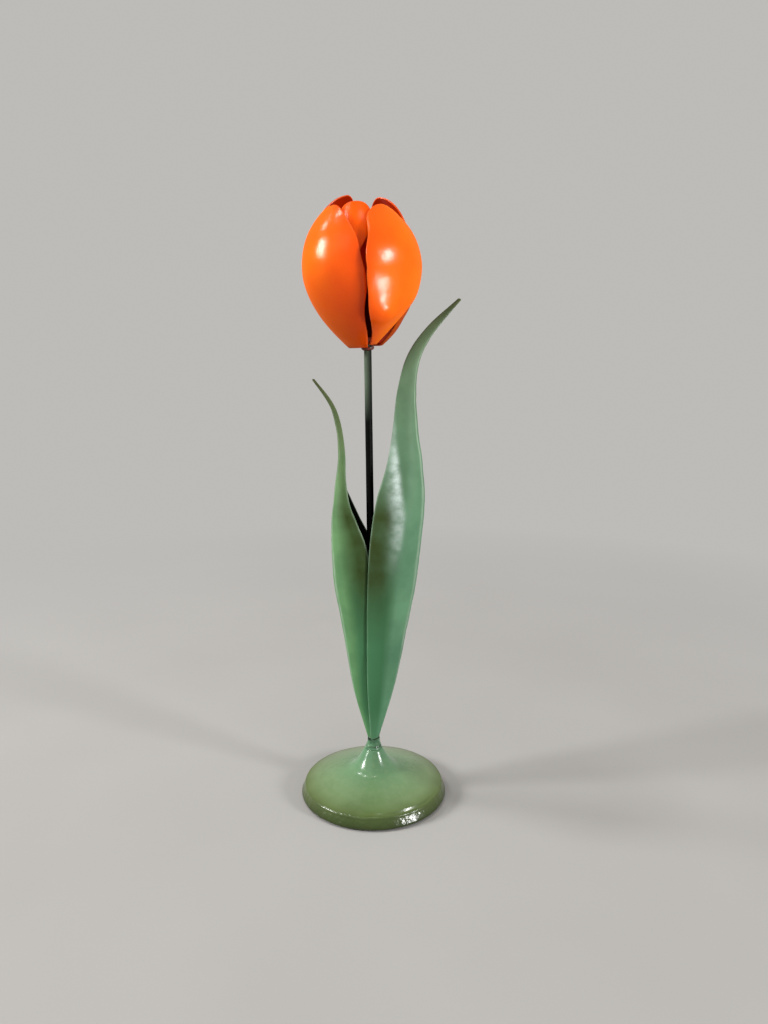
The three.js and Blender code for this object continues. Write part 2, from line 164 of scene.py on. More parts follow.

# Painted highlight of the large leaf beside its near lip, a pale mottled patch where its beaten metal
# catches
# the light, with dents bumped in: height, half its length, the same for its faint tail, share of the way
# from keel to lip, height where it starts to slant and how much it then nears the lip per millimetre, half
# its width on the sides of the keel and of the lip
HIGHLIGHT_HEIGHT = 187
HIGHLIGHT_LENGTH = 20
TAIL_HEIGHT = 150
TAIL_LENGTH = 10
TAIL_STRENGTH = 0.3
HIGHLIGHT_PLACE = 0.6
SLANT_HEIGHT = 164
HIGHLIGHT_SLANT = 0.0065
HIGHLIGHT_WIDTH = 0.04
HIGHLIGHT_LIP_WIDTH = 0.088

# Darker tones along the near lips, full from this share of the way from keel to lip: heights and strengths.
# The olive tone is part tint and part painted shade, the dark green one is painted shade.
TINT_AND_SHADE_FULL = 0.8
OLIVE_HEIGHTS = (75, 100, 122, 165, 185, 205)
OLIVE_STRENGTHS = (0, 0.45, 1, 1, 0.5, 0)
SHADE_SPREAD = 1.5
SHADE_HEIGHTS = (10, 30, 110, 130)
SHADE_STRENGTHS = (0.5, 0.9, 0.9, 0)

# Pale line beside the keel, a painted highlight, and dark crease over the feet of the leaves, a painted
# shade
KEEL_LINE = 0.13
KEEL_LINE_WIDTH = 0.06
CREASE_HEIGHT = 1.4
CREASE_WIDTH = 0.354
CREASE_STRENGTH = 0.85

# Stations of a leaf: share of its height, keel from the stem, depth from keel to lips, half the
# spread of the lips, turn of the section in degrees, rise of the lips over the keel
LARGE_LEAF = [
    [0, 0, 4.7, 0, 0, 0],
    [0.13, 11.5, 17.6, 2.7, 0, 0],
    [0.271, 20.4, 25.9, 4.4, 0, 0],
    [0.375, 26.7, 31, 6.4, 0, 0],
    [0.478, 30.8, 32.8, 8, 0, 0],
    [0.57, 33.4, 30.1, 8.7, 4, 0],
    [0.65, 32.2, 20.6, 9.1, 10, 0],
    [0.725, 29.6, 13.1, 7.6, 18, 0],
    [0.811, 28.7, 9, 5, 24, 0],
    [0.88, 31.9, 6, 3.4, 28, 1.5],
    [0.938, 41.8, 3.4, 2.2, 30, 2],
    [1, 57.9, 0.8, 0.7, 30, 0.6],
]
SMALL_LEAF = [
    [0, 0, 2.1, 0, 0, 0],
    [0.144, 9.4, 12.7, 1.5, 0, 0],
    [0.325, 16.4, 21.4, 2.7, 0, 0],
    [0.449, 21.5, 26, 4.8, 0, 0],
    [0.556, 23, 23.8, 7, 0, 0],
    [0.63, 23, 16.3, 6.8, 0, 0],
    [0.679, 21.9, 10.2, 5.1, 0, 0],
    [0.733, 20.4, 5.3, 3, 15, 0],
    [0.811, 18.3, 2.2, 1.9, 30, 0],
    [0.885, 20.2, 1.4, 1.9, 30, 0.5],
    [0.94, 24.6, 0.9, 1.4, 30, 0.5],
    [1, 34.9, 0.2, 0.7, 30, 0.4],
]

# Leaves: side of the stem, sizes, share of blue in the green, how much lighter the upper part is, and the
# share of the way from keel to lip at which the olive tint and the painted shade start
LEAVES = {
    "large_leaf": dict(
        stations=LARGE_LEAF, side=1, length=LARGE_LENGTH, lip_room=LARGE_LIP_ROOM, skew=0, seed=7,
        blue=0.56, pale=1, tint_and_shade_start=0.52,
    ),
    "small_leaf": dict(
        stations=SMALL_LEAF, side=-1, length=SMALL_LENGTH, lip_room=SMALL_LIP_ROOM, skew=SMALL_SKEW, seed=8,
        blue=0.42, pale=1.15, tint_and_shade_start=0.4,
    ),
}
FINE_SEED = 20

# Flower
FLOWER_HEIGHT = 305
TILT_LEFT = 3.6
TILT_FRONT = 5
PETAL_SHEET = 1
PETAL_CUP = 0.16
BELLY_HEIGHT = 46
BELLY_SHARE = 0.52
LOWER_HANDLE = (13.5, 13.5)
RIGHT_HANDLE = (19, 13.5)
BELLY_LIFT = 16
TIP_HANDLE = (11, 10.5)
TIP_HALF = 0.8
TIP_LEAST = 0.3
EDGE_WAVE = 1.3
EDGE_WAVES = 2.5
EDGE_PHASE = 1.2
ROW_CROWDING = 1.7
PETAL_ROWS = 64
TAB_ROWS = 8
PETAL_COLUMNS = 44

# Collar and cap of the flower, with their lumps as size, depth and seed, and how far the lumps of the collar
# keep from the bore
COLLAR_HEIGHT = 2
COLLAR_WALL = 0.8
COLLAR_LUMPS = (1.6, 0.14, 14)
COLLAR_SKIN = 0.2
CAP_RADIUS = 6.5
CAP_HEIGHT = 3
CAP_LUMPS = (2.5, 0.25, 15)

# Bulge of a petal low beside its middle, and lobe of its right edge: shares of its length and width
BULGE_SHARE = 0.19
BULGE_LENGTH = 0.08
BULGE_SIDE = -0.5
BULGE_WIDTH = 0.5
LOBE_SHARE = 0.65
LOBE_LENGTH = 0.09

# Painted shade and shadow on the petals, as dark parts: height where the dark starts and over which it
# grows, the same for the turn in degrees, and its strength. The inner petals are shaded low in the cup, the
# front left petal low down, and the back right petal near its front edge, as in the shadow of the front
# right petal.
INNER_SHADE = (52, 20)
SHADE_DARK = (45, 35)
EDGE_SHADOW = (40, 10)
EDGE_SHADOW_TURN = (125, 25)
EDGE_SHADOW_STRENGTH = 0.58

# Petal blanks: outline, and what most petals share
LOWER_FLOOR = 0.5
UPPER_FLOOR = 1.8
FLOOR_RADIUS = 12.3
RIGHT_FLOOR_RADIUS = 9.5
PETAL_STEP = 2.5
PLAIN = dict(
    handle=LOWER_HANDLE, foot_turn=0, tip_turn=0, tip_lean=0, foot_reach=0, edge_stand=0, bulge=0, lobe=0,
    warm=(0.5, 0), gloss=1, shade=0,
)
FRONT = dict(
    PLAIN, span=42.7, widest=0.5, blunt=1.9, fade=0.52, belly=37.6, drop=16, floor_radius=FLOOR_RADIUS,
)
BACK = dict(
    PLAIN, span=47.8, widest=0.5, blunt=1.75, fade=0.52, belly=35.1, drop=21, floor_radius=FLOOR_RADIUS,
)


def edge_radius(blank):
    """Radius of a petal's edges at the belly, where they lie closer in than its middle."""
    belly = blank["belly"]
    centre = belly * PETAL_CUP
    polar = radians(blank["span"])
    return centre * math.cos(polar) + math.sqrt((belly - centre) ** 2 - (centre * math.sin(polar)) ** 2)


TONGUE = dict(
    PLAIN, span=24, widest=0.86, blunt=2.4, fade=0.9, belly=edge_radius(FRONT) - PETAL_STEP, drop=16,
    floor_radius=8.8,
)
SHIELD = dict(
    PLAIN, span=34, widest=0.55, blunt=1.8, fade=0.52, belly=edge_radius(BACK) - PETAL_STEP, drop=16,
    floor_radius=7.5,
)

# Petals: place in the cup, outline and colour. warm is how orange the middle is, and how this grows to
# the right; this is partly painted light and shade, redder where a petal lies in shade, more orange where
# lit.
PETALS = {
    "outer_petal_front_left": dict(
        FRONT, floor=LOWER_FLOOR, azimuth=-40.2, foot_turn=2, foot_angle=47, swell=1,
        tip_height=82, tip_radius=20, tip_lean=-0.34, lobe=3, warm=(0.5, -0.6), shade=0.22, seed=1,
    ),
    "outer_petal_front_right": dict(
        FRONT, floor=UPPER_FLOOR, floor_radius=RIGHT_FLOOR_RADIUS, handle=RIGHT_HANDLE,
        azimuth=49.8, foot_turn=-26, foot_angle=17, swell=1.6,
        tip_height=81, tip_radius=19, tip_lean=-0.2, edge_stand=4.5, bulge=6, warm=(0.65, 0.5), seed=2,
    ),
    "outer_petal_back_right": dict(
        BACK, floor=LOWER_FLOOR, floor_radius=RIGHT_FLOOR_RADIUS, handle=RIGHT_HANDLE,
        azimuth=134.8, foot_turn=-10, tip_turn=4, foot_angle=47, foot_reach=25, swell=1,
        tip_height=87.5, tip_radius=20, tip_lean=-0.3, edge_stand=-2, bulge=-1.8, seed=3,
    ),
    "outer_petal_back_left": dict(
        BACK, floor=LOWER_FLOOR, azimuth=-125.2, tip_turn=-32, foot_angle=34, swell=4,
        tip_height=90, tip_radius=14, tip_lean=0.45, seed=4,
    ),
    "inner_petal_front": dict(
        TONGUE, floor=UPPER_FLOOR, azimuth=-2, foot_turn=-22, foot_angle=10, swell=14,
        tip_height=83.5, tip_radius=14.5, warm=(0.15, 0), gloss=0.5, seed=5,
    ),
    "inner_petal_back": dict(
        SHIELD, floor=UPPER_FLOOR, azimuth=184.8, foot_angle=26, swell=1,
        tip_height=76, tip_radius=17, seed=6,
    ),
}

# Places of the stem with its leaves, and of the flower on it
PLANT = Matrix.Translation((0, 0, NECK_TOP)) @ Matrix.Rotation(radians(-STEM_LEAN), 4, "Y")
FLOWER = (
    PLANT
    @ Matrix.Translation((0, 0, FLOWER_HEIGHT - NECK_TOP))
    @ Matrix.Rotation(radians(TILT_FRONT), 4, "X")
    @ Matrix.Rotation(radians(-TILT_LEFT), 4, "Y")
)


def unit(vectors):
    """Vectors of length one along the last axis."""
    return vectors / np.linalg.norm(vectors, axis=-1, keepdims=True)


def bell(x):
    """Bell curve of height one round zero."""
    return np.exp(-x * x / 2)


def grown(values, start, length):
    """From 0 at the start to 1 a length below it."""
    return np.clip((start - values) / length, 0, 1)


def turn_of(points):
    """Degrees round Z, from the front towards the right."""
    return np.degrees(np.arctan2(points[:, 0], -points[:, 1]))


def swollen(points, lump):
    """The points moved away from Z by a lump each."""
    radius = np.maximum(np.hypot(points[:, 0], points[:, 1]), 1)
    return points * np.stack([1 + lump / radius, 1 + lump / radius, np.ones(len(points))], axis=1)


def lumps(points, size, seed):
    """Smooth bumps from -1 to 1 at each point, about one per size."""
    shift = Vector([seed * step for step in SEED_SHIFT])
    flat = points.reshape(-1, 3) / size
    values = [noise.noise(Vector(point) + shift) for point in flat]
    return np.array(values).reshape(points.shape[:-1])


def bumps(points, wave):
    """Lumps by their size, depth and seed."""
    size, depth, seed = wave
    return depth * lumps(points, size, seed)


def sheet(grid, thickness):
    """Points and faces of a closed sheet round a grid of middle points, with a rounded rim, and the
    distance of each point from the rim."""
    rows, columns = grid.shape[:2]
    along = np.gradient(grid, axis=0)
    across = np.gradient(grid, axis=1)
    normal = unit(np.cross(along, across))
    half = thickness / 2
    steps = RIM_STEPS
    loop = [(0, j) for j in range(columns - 1)]
    loop += [(i, columns - 1) for i in range(rows - 1)]
    loop += [(rows - 1, j) for j in range(columns - 1, 0, -1)]
    loop += [(i, 0) for i in range(rows - 1, 0, -1)]
    edge = np.array([grid[place] for place in loop])
    edge_normal = np.array([normal[place] for place in loop])
    tangent = np.roll(edge, -1, axis=0) - np.roll(edge, 1, axis=0)
    outward = unit(np.cross(edge_normal, tangent))
    flat = grid.reshape(-1, 3)
    flat_normal = normal.reshape(-1, 3)
    blocks = [flat + half * flat_normal, flat - half * flat_normal]
    for k in range(1, steps):
        angle = math.pi / 2 - math.pi * k / steps
        blocks.append(edge + half * (math.cos(angle) * outward + math.sin(angle) * edge_normal))
    points = np.concatenate(blocks)
    count = rows * columns
    top = [i * columns + j for i, j in loop]
    rings = [top]
    for k in range(steps - 1):
        first = 2 * count + k * len(loop)
        rings.append(list(range(first, first + len(loop))))
    rings.append([count + place for place in top])
    faces = []
    for i in range(rows - 1):
        for j in range(columns - 1):
            a = i * columns + j
            b = a + columns
            faces.append((a, b, b + 1, a + 1))
            faces.append((count + a, count + a + 1, count + b + 1, count + b))
    for upper, lower in zip(rings, rings[1:]):
        for k in range(len(loop)):
            n = (k + 1) % len(loop)
            faces.append((upper[k], upper[n], lower[n], lower[k]))
    distance = np.full(count, np.inf)
    for place in edge:
        distance = np.minimum(distance, np.linalg.norm(flat - place, axis=1))
    rim_distance = np.zeros((steps - 1) * len(loop))
    return points, faces, np.concatenate([distance, distance, rim_distance])


def turned(profile, segments):
    """Points and faces of a solid of revolution about Z. The profile of radius and height runs round
    closed, or from axis to axis."""
    points = []
    rings = []
    for radius, height in profile:
        if radius == 0:
            rings.append([len(points)] * segments)
            points.append((0, 0, height))
            continue
        rings.append(list(range(len(points), len(points) + segments)))
        for k in range(segments):
            angle = 2 * math.pi * k / segments
            points.append((radius * math.cos(angle), radius * math.sin(angle), height))
    pairs = list(zip(rings, rings[1:]))
    if profile[0][0] != 0:
        pairs.append((rings[-1], rings[0]))
    faces = []
    for lower, upper in pairs:
        for k in range(segments):
            n = (k + 1) % segments
            corners = []
            for corner in (lower[k], lower[n], upper[n], upper[k]):
                if corner not in corners:
                    corners.append(corner)
            if len(corners) > 2:
                faces.append(tuple(corners))
    return np.array(points, float), faces


def curve(points, steps):
    """Points along a Bezier curve of two to four control points, without the first."""
    found = []
    for k in range(1, steps + 1):
        share = k / steps
        level = [np.array(p, float) for p in points]
        while len(level) > 1:
            level = [a + (b - a) * share for a, b in zip(level, level[1:])]
        found.append(tuple(level[0]))
    return found


def add_piece(name, points, faces, place, finish, marks=None):
    """Makes a mesh in metres, moved to its place, with marks that its finish reads."""
    mesh = bpy.data.meshes.new(name)
    matrix = np.array(place)
    placed = (points @ matrix[:3, :3].T + matrix[:3, 3]) * MM
    mesh.from_pydata(placed.tolist(), [], faces)
    mesh.polygons.foreach_set("use_smooth", [True] * len(mesh.polygons))
    for mark, values in (marks or {}).items():
        layer = mesh.attributes.new(mark, "FLOAT", "POINT")
        layer.data.foreach_set("value", np.asarray(values, np.float32))
    mesh.materials.append(finish)
    mesh.update()
    piece = bpy.data.objects.new(name + "_look", mesh)
    bpy.context.scene.collection.objects.link(piece)
    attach(piece, "root")
    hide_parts(name)


# Petals

def petal_line(petal, share):
    """Radius and height of a petal's middle line at a share of its length."""
    waist = np.array((petal["belly"], BELLY_HEIGHT))
    if share < BELLY_SHARE:
        start = np.array((petal["floor_radius"], petal["floor"]))
        rise = start + petal["handle"]
        control = [start, rise, waist - (0, petal["drop"]), waist]
        t = share / BELLY_SHARE
    else:
        end = np.array((petal["tip_radius"], petal["tip_height"]))
        curl = end + (TIP_HANDLE[0], -TIP_HANDLE[1])
        control = [waist, waist + (0, BELLY_LIFT), curl, end]
        t = (share - BELLY_SHARE) / (1 - BELLY_SHARE)
    a, b, c, d = control
    return a * (1 - t) ** 3 + 3 * b * t * (1 - t) ** 2 + 3 * c * t * t * (1 - t) + d * t ** 3


def half_angle(petal, share):
    """Half the angle that a petal spans round its own bend."""
    polar = radians(petal["span"])
    full = polar + math.asin(math.sin(polar) * PETAL_CUP / (1 - PETAL_CUP))
    widest = petal["widest"]
    if share < widest:
        foot = radians(petal["foot_angle"])
        return foot + (full - foot) * math.sin(math.pi / 2 * share / widest) ** petal["swell"]
    rest = (share - widest) / (1 - widest)
    bend_widest = (1 - PETAL_CUP) * petal_line(petal, widest)[0]
    bend = (1 - PETAL_CUP) * petal_line(petal, share)[0]
    half = full * bend_widest * max(0, 1 - rest ** petal["blunt"]) ** (1 / petal["blunt"])
    return max(TIP_HALF, half) / bend


def petal_grid(petal):
    """Middle points of a petal: a tab bent in under the cup, and a blade dished across."""
    hole = STEM_RADIUS + STEM_CLEARANCE
    grid = []
    for i in range(-TAB_ROWS, PETAL_ROWS + 1):
        share = 1 - (1 - max(0, i) / PETAL_ROWS) ** ROW_CROWDING
        radius, height = petal_line(petal, share)
        reach = radius
        if i < 0:
            reach = radius + (hole - radius) * -i / TAB_ROWS
        fade = max(0, 1 - share / petal["fade"])
        taper = max(0, share - BELLY_SHARE) / (1 - BELLY_SHARE)
        turn = radians(petal["azimuth"] + petal["foot_turn"] * fade + petal["tip_turn"] * taper ** 2)
        bend = reach * (1 - PETAL_CUP)
        half = max(half_angle(petal, share) - PETAL_SHEET / 2 / bend, TIP_LEAST / bend)
        reach_on = radians(petal["foot_reach"]) * fade
        hump = petal["bulge"] * min(1, share / BULGE_SHARE)
        hump *= bell((share - BULGE_SHARE) / BULGE_LENGTH)
        lobe = petal["lobe"] * bell((share - LOBE_SHARE) / LOBE_LENGTH)
        row = []
        for j in range(PETAL_COLUMNS + 1):
            v = 2 * j / PETAL_COLUMNS - 1
            first = max(0, -v)
            wave = math.sin(2 * math.pi * EDGE_WAVES * share + EDGE_PHASE * v)
            wave *= math.sin(math.pi * share)
            narrowed = half * (1 + taper * min(0, petal["tip_lean"] * v))
            edge_out = EDGE_WAVE * wave + lobe * max(0, v)
            angle = v * (narrowed + edge_out / bend) - first * reach_on
            edge = petal["edge_stand"] * first ** 2 * math.sin(math.pi * share)
            stand = 1 + (edge + hump * bell((v - BULGE_SIDE) / BULGE_WIDTH)) / reach
            outward = (reach * PETAL_CUP + bend * math.cos(angle)) * stand
            aside = bend * math.sin(angle) * stand
            x = outward * math.sin(turn) + aside * math.cos(turn)
            y = aside * math.sin(turn) - outward * math.cos(turn)
            row.append((x, y, height))
        grid.append(row)
    return np.array(grid)


def hammered(grid, dents, seed):
    """The grid with shallow dents of a size and depth beaten into it, fading out at its first row."""
    size, depth = dents
    along = np.gradient(grid, axis=0)
    across = np.gradient(grid, axis=1)
    normal = unit(np.cross(along, across))
    fade = np.clip(np.arange(len(grid)) / (DENT_FADE * len(grid)), 0, 1)
    return grid + normal * (depth * fade[:, None] * lumps(grid, size, seed))[..., None]


# Leaves

def spline(stations, rows):
    """Catmull-Rom curve through the stations, evenly spaced from station to station."""
    stations = np.array(stations, float)
    last = len(stations) - 1
    found = []
    for i in range(rows + 1):
        at = i / rows * last
        k = min(int(at), last - 1)
        t = at - k
        b = stations[k]
        c = stations[k + 1]
        a = stations[k - 1] if k > 0 else 2 * b - c
        d = stations[k + 2] if k < last - 1 else 2 * c - b
        found.append(
            b
            + (c - a) / 2 * t
            + (a - 2.5 * b + 2 * c - d / 2) * t * t
            + (1.5 * (b - c) + (d - a) / 2) * t ** 3
        )
    return np.array(found)


def leaf_grid(leaf):
    """Middle points of a leaf, folded along its keel and open towards the stem."""
    length = leaf["length"]
    last = len(leaf["stations"]) - 1
    shifted = []
    for i, (share, keel, depth, spread, turn, rise) in enumerate(leaf["stations"]):
        fade = 1 - i / last
        keel += KEEL_ROOM * fade
        spread += leaf["lip_room"] * fade
        shifted.append([share * length, keel, depth, spread, radians(turn), rise])
    grid = []
    for height, keel, depth, spread, turn, rise in spline(shifted, LEAF_ROWS):
        v = np.linspace(-1, 1, LEAF_COLUMNS + 1)
        belly = math.sin(math.pi * max(0, height / length) ** BULGE_LOW) ** 2
        aside = spread * v * (1 + LEAF_BULGE * belly * (1 - v * v))
        deep = depth * np.abs(v) ** (2 - KEEL_SHARPNESS * belly) * (1 + leaf["skew"] * belly * v)
        x = keel - deep * math.cos(turn) + aside * math.sin(turn)
        y = deep * math.sin(turn) + aside * math.cos(turn)
        z = LEAF_FOOT + height + rise * v * v
        grid.append(np.stack([leaf["side"] * x, y, z], axis=1))
    return np.array(grid)


# Finishes

class Finish:
    """A material with a principled shader, and short ways to add nodes to it."""

    def __init__(self, name):
        self.material = bpy.data.materials.new(name)
        self.material.use_nodes = True
        self.nodes = self.material.node_tree.nodes
        self.links = self.material.node_tree.links
        self.shader = self.nodes["Principled BSDF"]
        self.place = self.nodes.new("ShaderNodeTexCoord").outputs["Object"]

    def set(self, **values):
        for name, value in values.items():
            self.shader.inputs[name.replace("_", " ").title().replace("Ior", "IOR")].default_value = value

    def link(self, source, target):
        self.links.new(source, target)

    def noise(self, scale, detail, stretch=None):
        node = self.nodes.new("ShaderNodeTexNoise")
        node.inputs["Scale"].default_value = scale
        node.inputs["Detail"].default_value = detail
        source = self.place
        if stretch:
            mapping = self.nodes.new("ShaderNodeMapping")
            mapping.inputs["Scale"].default_value = stretch
            self.link(self.place, mapping.inputs["Vector"])
            source = mapping.outputs["Vector"]
        self.link(source, node.inputs["Vector"])
        return node.outputs["Fac"]

    def mark(self, name):
        node = self.nodes.new("ShaderNodeAttribute")
        node.attribute_name = name
        return node.outputs["Fac"]

    def ramp(self, source, stops):
        node = self.nodes.new("ShaderNodeValToRGB")
        elements = node.color_ramp.elements
        while len(elements) < len(stops):
            elements.new(0.5)
        for element, (at, colour) in zip(elements, stops):
            element.position = at
            element.color = (*colour, 1)
        self.link(source, node.inputs["Fac"])
        return node.outputs["Color"]

    def range(self, source, low, high, to_low, to_high):
        node = self.nodes.new("ShaderNodeMapRange")
        for name, value in (("From Min", low), ("From Max", high), ("To Min", to_low), ("To Max", to_high)):
            node.inputs[name].default_value = value
        self.link(source, node.inputs["Value"])
        return node.outputs["Result"]

    def times(self, first, second):
        node = self.nodes.new("ShaderNodeMath")
        node.operation = "MULTIPLY"
        self.link(first, node.inputs[0])
        self.link(second, node.inputs[1])
        return node.outputs["Value"]

    def mix(self, share, first, second):
        node = self.nodes.new("ShaderNodeMix")
        node.data_type = "RGBA"
        for socket, value in ((node.inputs[0], share), (node.inputs[6], first), (node.inputs[7], second)):
            if isinstance(value, tuple):
                socket.default_value = (*value, 1)
            else:
                self.link(value, socket)
        return node.outputs[2]

    def colour(self, source):
        self.link(source, self.shader.inputs["Base Color"])

    def roughness(self, source):
        self.link(source, self.shader.inputs["Roughness"])

    def coat(self, source):
        self.link(source, self.shader.inputs["Coat Weight"])

    def bump(self, heights, coat=False):
        """Stacks bumps of (height source, strength, distance), under the coat or through it."""
        normal = None
        for source, strength, distance in heights:
            node = self.nodes.new("ShaderNodeBump")
            node.inputs["Strength"].default_value = strength
            node.inputs["Distance"].default_value = distance
            self.link(source, node.inputs["Height"])
            if normal:
                self.link(normal, node.inputs["Normal"])
            normal = node.outputs["Normal"]
        self.link(normal, self.shader.inputs["Normal"])
        if coat:
            self.link(normal, self.shader.inputs["Coat Normal"])


def petal_finish():
    finish = Finish("petal_lacquer")
    blotch = finish.noise(38, 3)
    red = finish.ramp(blotch, [(0.3, (0.9, 0.075, 0)), (0.7, (0.95, 0.1, 0))])
    orange = finish.ramp(blotch, [(0.3, (0.97, 0.14, 0)), (0.7, (1, 0.185, 0))])
    # The red and orange mix is partly painted shade: redder where a petal lies in shade
    body = finish.mix(finish.mark("warm"), red, orange)
    # Painted shade: the inside faces of the petals get a darker, redder lacquer for the shade inside the cup
    inner = finish.ramp(blotch, [(0.3, (0.56, 0.024, 0)), (0.7, (0.7, 0.036, 0.001))])
    inside_shaded = finish.mix(finish.mark("outer"), inner, body)
    wear = finish.range(finish.mark("rim"), 0.1, 0.6, 0.2, 0)
    chipped = finish.times(wear, finish.range(finish.noise(220, 2), 0.35, 0.65, 0.2, 1))
    worn = finish.mix(chipped, inside_shaded, (0.85, 0.22, 0.05))
    # Painted shade and shadow: deep darkens the petals low in the cup and where the front right petal
    # shadows the back right one
    finish.colour(finish.mix(finish.mark("deep"), worn, (0.035, 0.002, 0.001)))
    finish.roughness(finish.range(finish.noise(70, 3), 0.3, 0.7, 0.38, 0.48))
    finish.bump([
        (finish.noise(110, 2), 0.4, 0.0006),
        (finish.noise(800, 2), 0.25, 0.00012),
    ], coat=True)
    finish.coat(finish.range(finish.mark("gloss"), 0, 1, 0, 0.13))
    finish.set(coat_roughness=0.21, coat_ior=2.5, ior=1.5, specular_ior_level=0, metallic=0.12)
    return finish.material


def leaf_finish(name, blue, pale):
    """Lacquer of a leaf, by the share of blue in its green and how much lighter its upper part is."""
    finish = Finish(name)
    blotch = finish.noise(42, 4)
    light = finish.ramp(finish.mark("share"), [
        (0.0, (0.13, 0.31, 0.31 * blue)),
        (0.35, (0.155, 0.335, 0.335 * blue)),
        (0.55, (0.145, 0.3, 0.3 * blue)),
        (0.7, (0.135 * pale, 0.26 * pale, 0.26 * pale * blue)),
        (0.86, (0.14, 0.225 / pale, 0.225 * blue / pale)),
        (1.0, (0.085, 0.10, 0.04)),
    ])
    dark = finish.ramp(finish.mark("share"), [
        (0.0, (0.095, 0.24, 0.24 * blue)),
        (0.5, (0.105, 0.235, 0.235 * blue)),
        (0.86, (0.10, 0.165, 0.165 * blue)),
        (1.0, (0.05, 0.06, 0.022)),
    ])
    body = finish.mix(finish.range(blotch, 0.35, 0.65, 0, 1), dark, light)
    # Painted shade: darker green low along the near lip
    body = finish.mix(finish.mark("shade"), body, (0.06, 0.195, 0.085))
    uneven = finish.range(finish.noise(60, 3), 0.3, 0.6, 0.8, 1)
    # Olive-brown along the near lip: part tint, part painted shade
    body = finish.mix(finish.times(finish.mark("olive"), uneven), body, (0.034, 0.056, 0.012))
    broken = finish.range(finish.noise(90, 3), 0.3, 0.6, 0.35, 0.85)
    # Painted highlight: a pale, broken line beside the keel where it catches the light
    body = finish.mix(finish.times(finish.mark("keel"), broken), body, (0.36, 0.47, 0.36))
    wear = finish.range(finish.mark("rim"), 0.1, 0.9, 0.5, 0)
    worn_part = finish.ramp(finish.mark("share"), [
        (0.4, (0.3, 0.3, 0.3)), (0.5, (1, 1, 1)), (0.7, (1, 1, 1)), (0.85, (0, 0, 0)),
    ])
    chips = finish.range(finish.noise(160, 3), 0.3, 0.6, 0.3, 1)
    body = finish.mix(finish.times(finish.times(wear, worn_part), chips), body, (0.27, 0.36, 0.26))
    # Painted highlight: pale mottled flecks on the patch beside the near lip, for the gloss of the beaten
    # metal
    flecks = finish.range(finish.noise(150, 4, (0.8, 0.8, 1.1)), 0.36, 0.6, 0.4, 1)
    body = finish.mix(finish.times(finish.mark("beaten"), flecks), body, (0.66, 0.78, 0.73))
    # Painted shade in the crease over the feet of the leaves
    body = finish.mix(finish.mark("crease"), body, (0.008, 0.022, 0.012))
    # Painted shade: the inside face of the leaf, open towards the stem, is near black
    finish.colour(finish.mix(finish.mark("outer"), (0.006, 0.009, 0.005), body))
    finish.roughness(finish.range(finish.noise(60, 3), 0.3, 0.7, 0.42, 0.54))
    finish.bump([
        (finish.times(finish.mark("beaten"), finish.noise(110, 2, (1, 1, 0.6))), 1, 0.0012),
        (finish.noise(130, 2), 0.3, 0.0006),
        (finish.noise(1100, 2), 0.15, 0.0001),
    ], coat=True)
    finish.set(coat_weight=0.05, coat_roughness=0.33, coat_ior=1.5, ior=1.2)
    return finish.material


def foot_finish():
    finish = Finish("foot_lacquer")
    blotch = finish.noise(45, 2)
    light = finish.ramp(finish.mark("share"), [
        (0.0, (0.13, 0.29, 0.155)),
        (0.3, (0.165, 0.30, 0.145)),
        (0.75, (0.19, 0.28, 0.125)),
        (0.93, (0.115, 0.165, 0.046)),
        (1.0, (0.035, 0.054, 0.006)),
    ])
    dark = finish.ramp(finish.mark("share"), [
        (0.0, (0.10, 0.24, 0.125)),
        (0.5, (0.15, 0.25, 0.115)),
        (0.9, (0.085, 0.125, 0.034)),
        (1.0, (0.024, 0.038, 0.004)),
    ])
    body = finish.mix(finish.range(blotch, 0.2, 0.8, 0, 1), dark, light)
    flecks = finish.range(finish.noise(330, 3), 0.45, 0.7, 0, 0.25)
    body = finish.mix(finish.times(finish.mark("dome"), flecks), body, (0.25, 0.35, 0.18))
    # Painted shade: the foot is darker towards the front
    front_shade = finish.range(finish.mark("front"), 0, 1, 0, 0.25)
    finish.colour(finish.mix(front_shade, body, (0.03, 0.06, 0.012)))
    finish.roughness(finish.range(finish.noise(50, 3), 0.2, 0.8, 0.22, 0.4))
    finish.bump([
        (finish.mark("lean"), 1, MM),
        (finish.times(finish.mark("lumpy"), finish.noise(260, 2)), 1, 0.0006),
        (finish.noise(120, 3), 0.2, 0.0005),
        (finish.noise(900, 2), 0.12, 0.0001),
    ], coat=True)
    finish.coat(finish.range(finish.mark("lumpy"), 0, 1, 0.55, 0.65))
    finish.set(coat_roughness=0.16, coat_ior=1.5, ior=1.25)
    return finish.material


def weld_finish():
    finish = Finish("weld_lacquer")
    body = finish.ramp(finish.noise(220, 3), [
        (0.3, (0.045, 0.12, 0.06)),
        (0.5, (0.09, 0.21, 0.11)),
        (0.7, (0.14, 0.29, 0.155)),
    ])
    # Painted shade in the creases of the weld
    finish.colour(finish.mix(finish.mark("crease"), body, (0.008, 0.02, 0.011)))
    finish.roughness(finish.range(finish.noise(150, 2), 0.3, 0.7, 0.25, 0.45))
    finish.bump([(finish.noise(400, 3), 0.5, 0.0006)], coat=True)
    finish.set(coat_weight=0.5, coat_roughness=0.16, coat_ior=1.5, ior=1.2)
    return finish.material


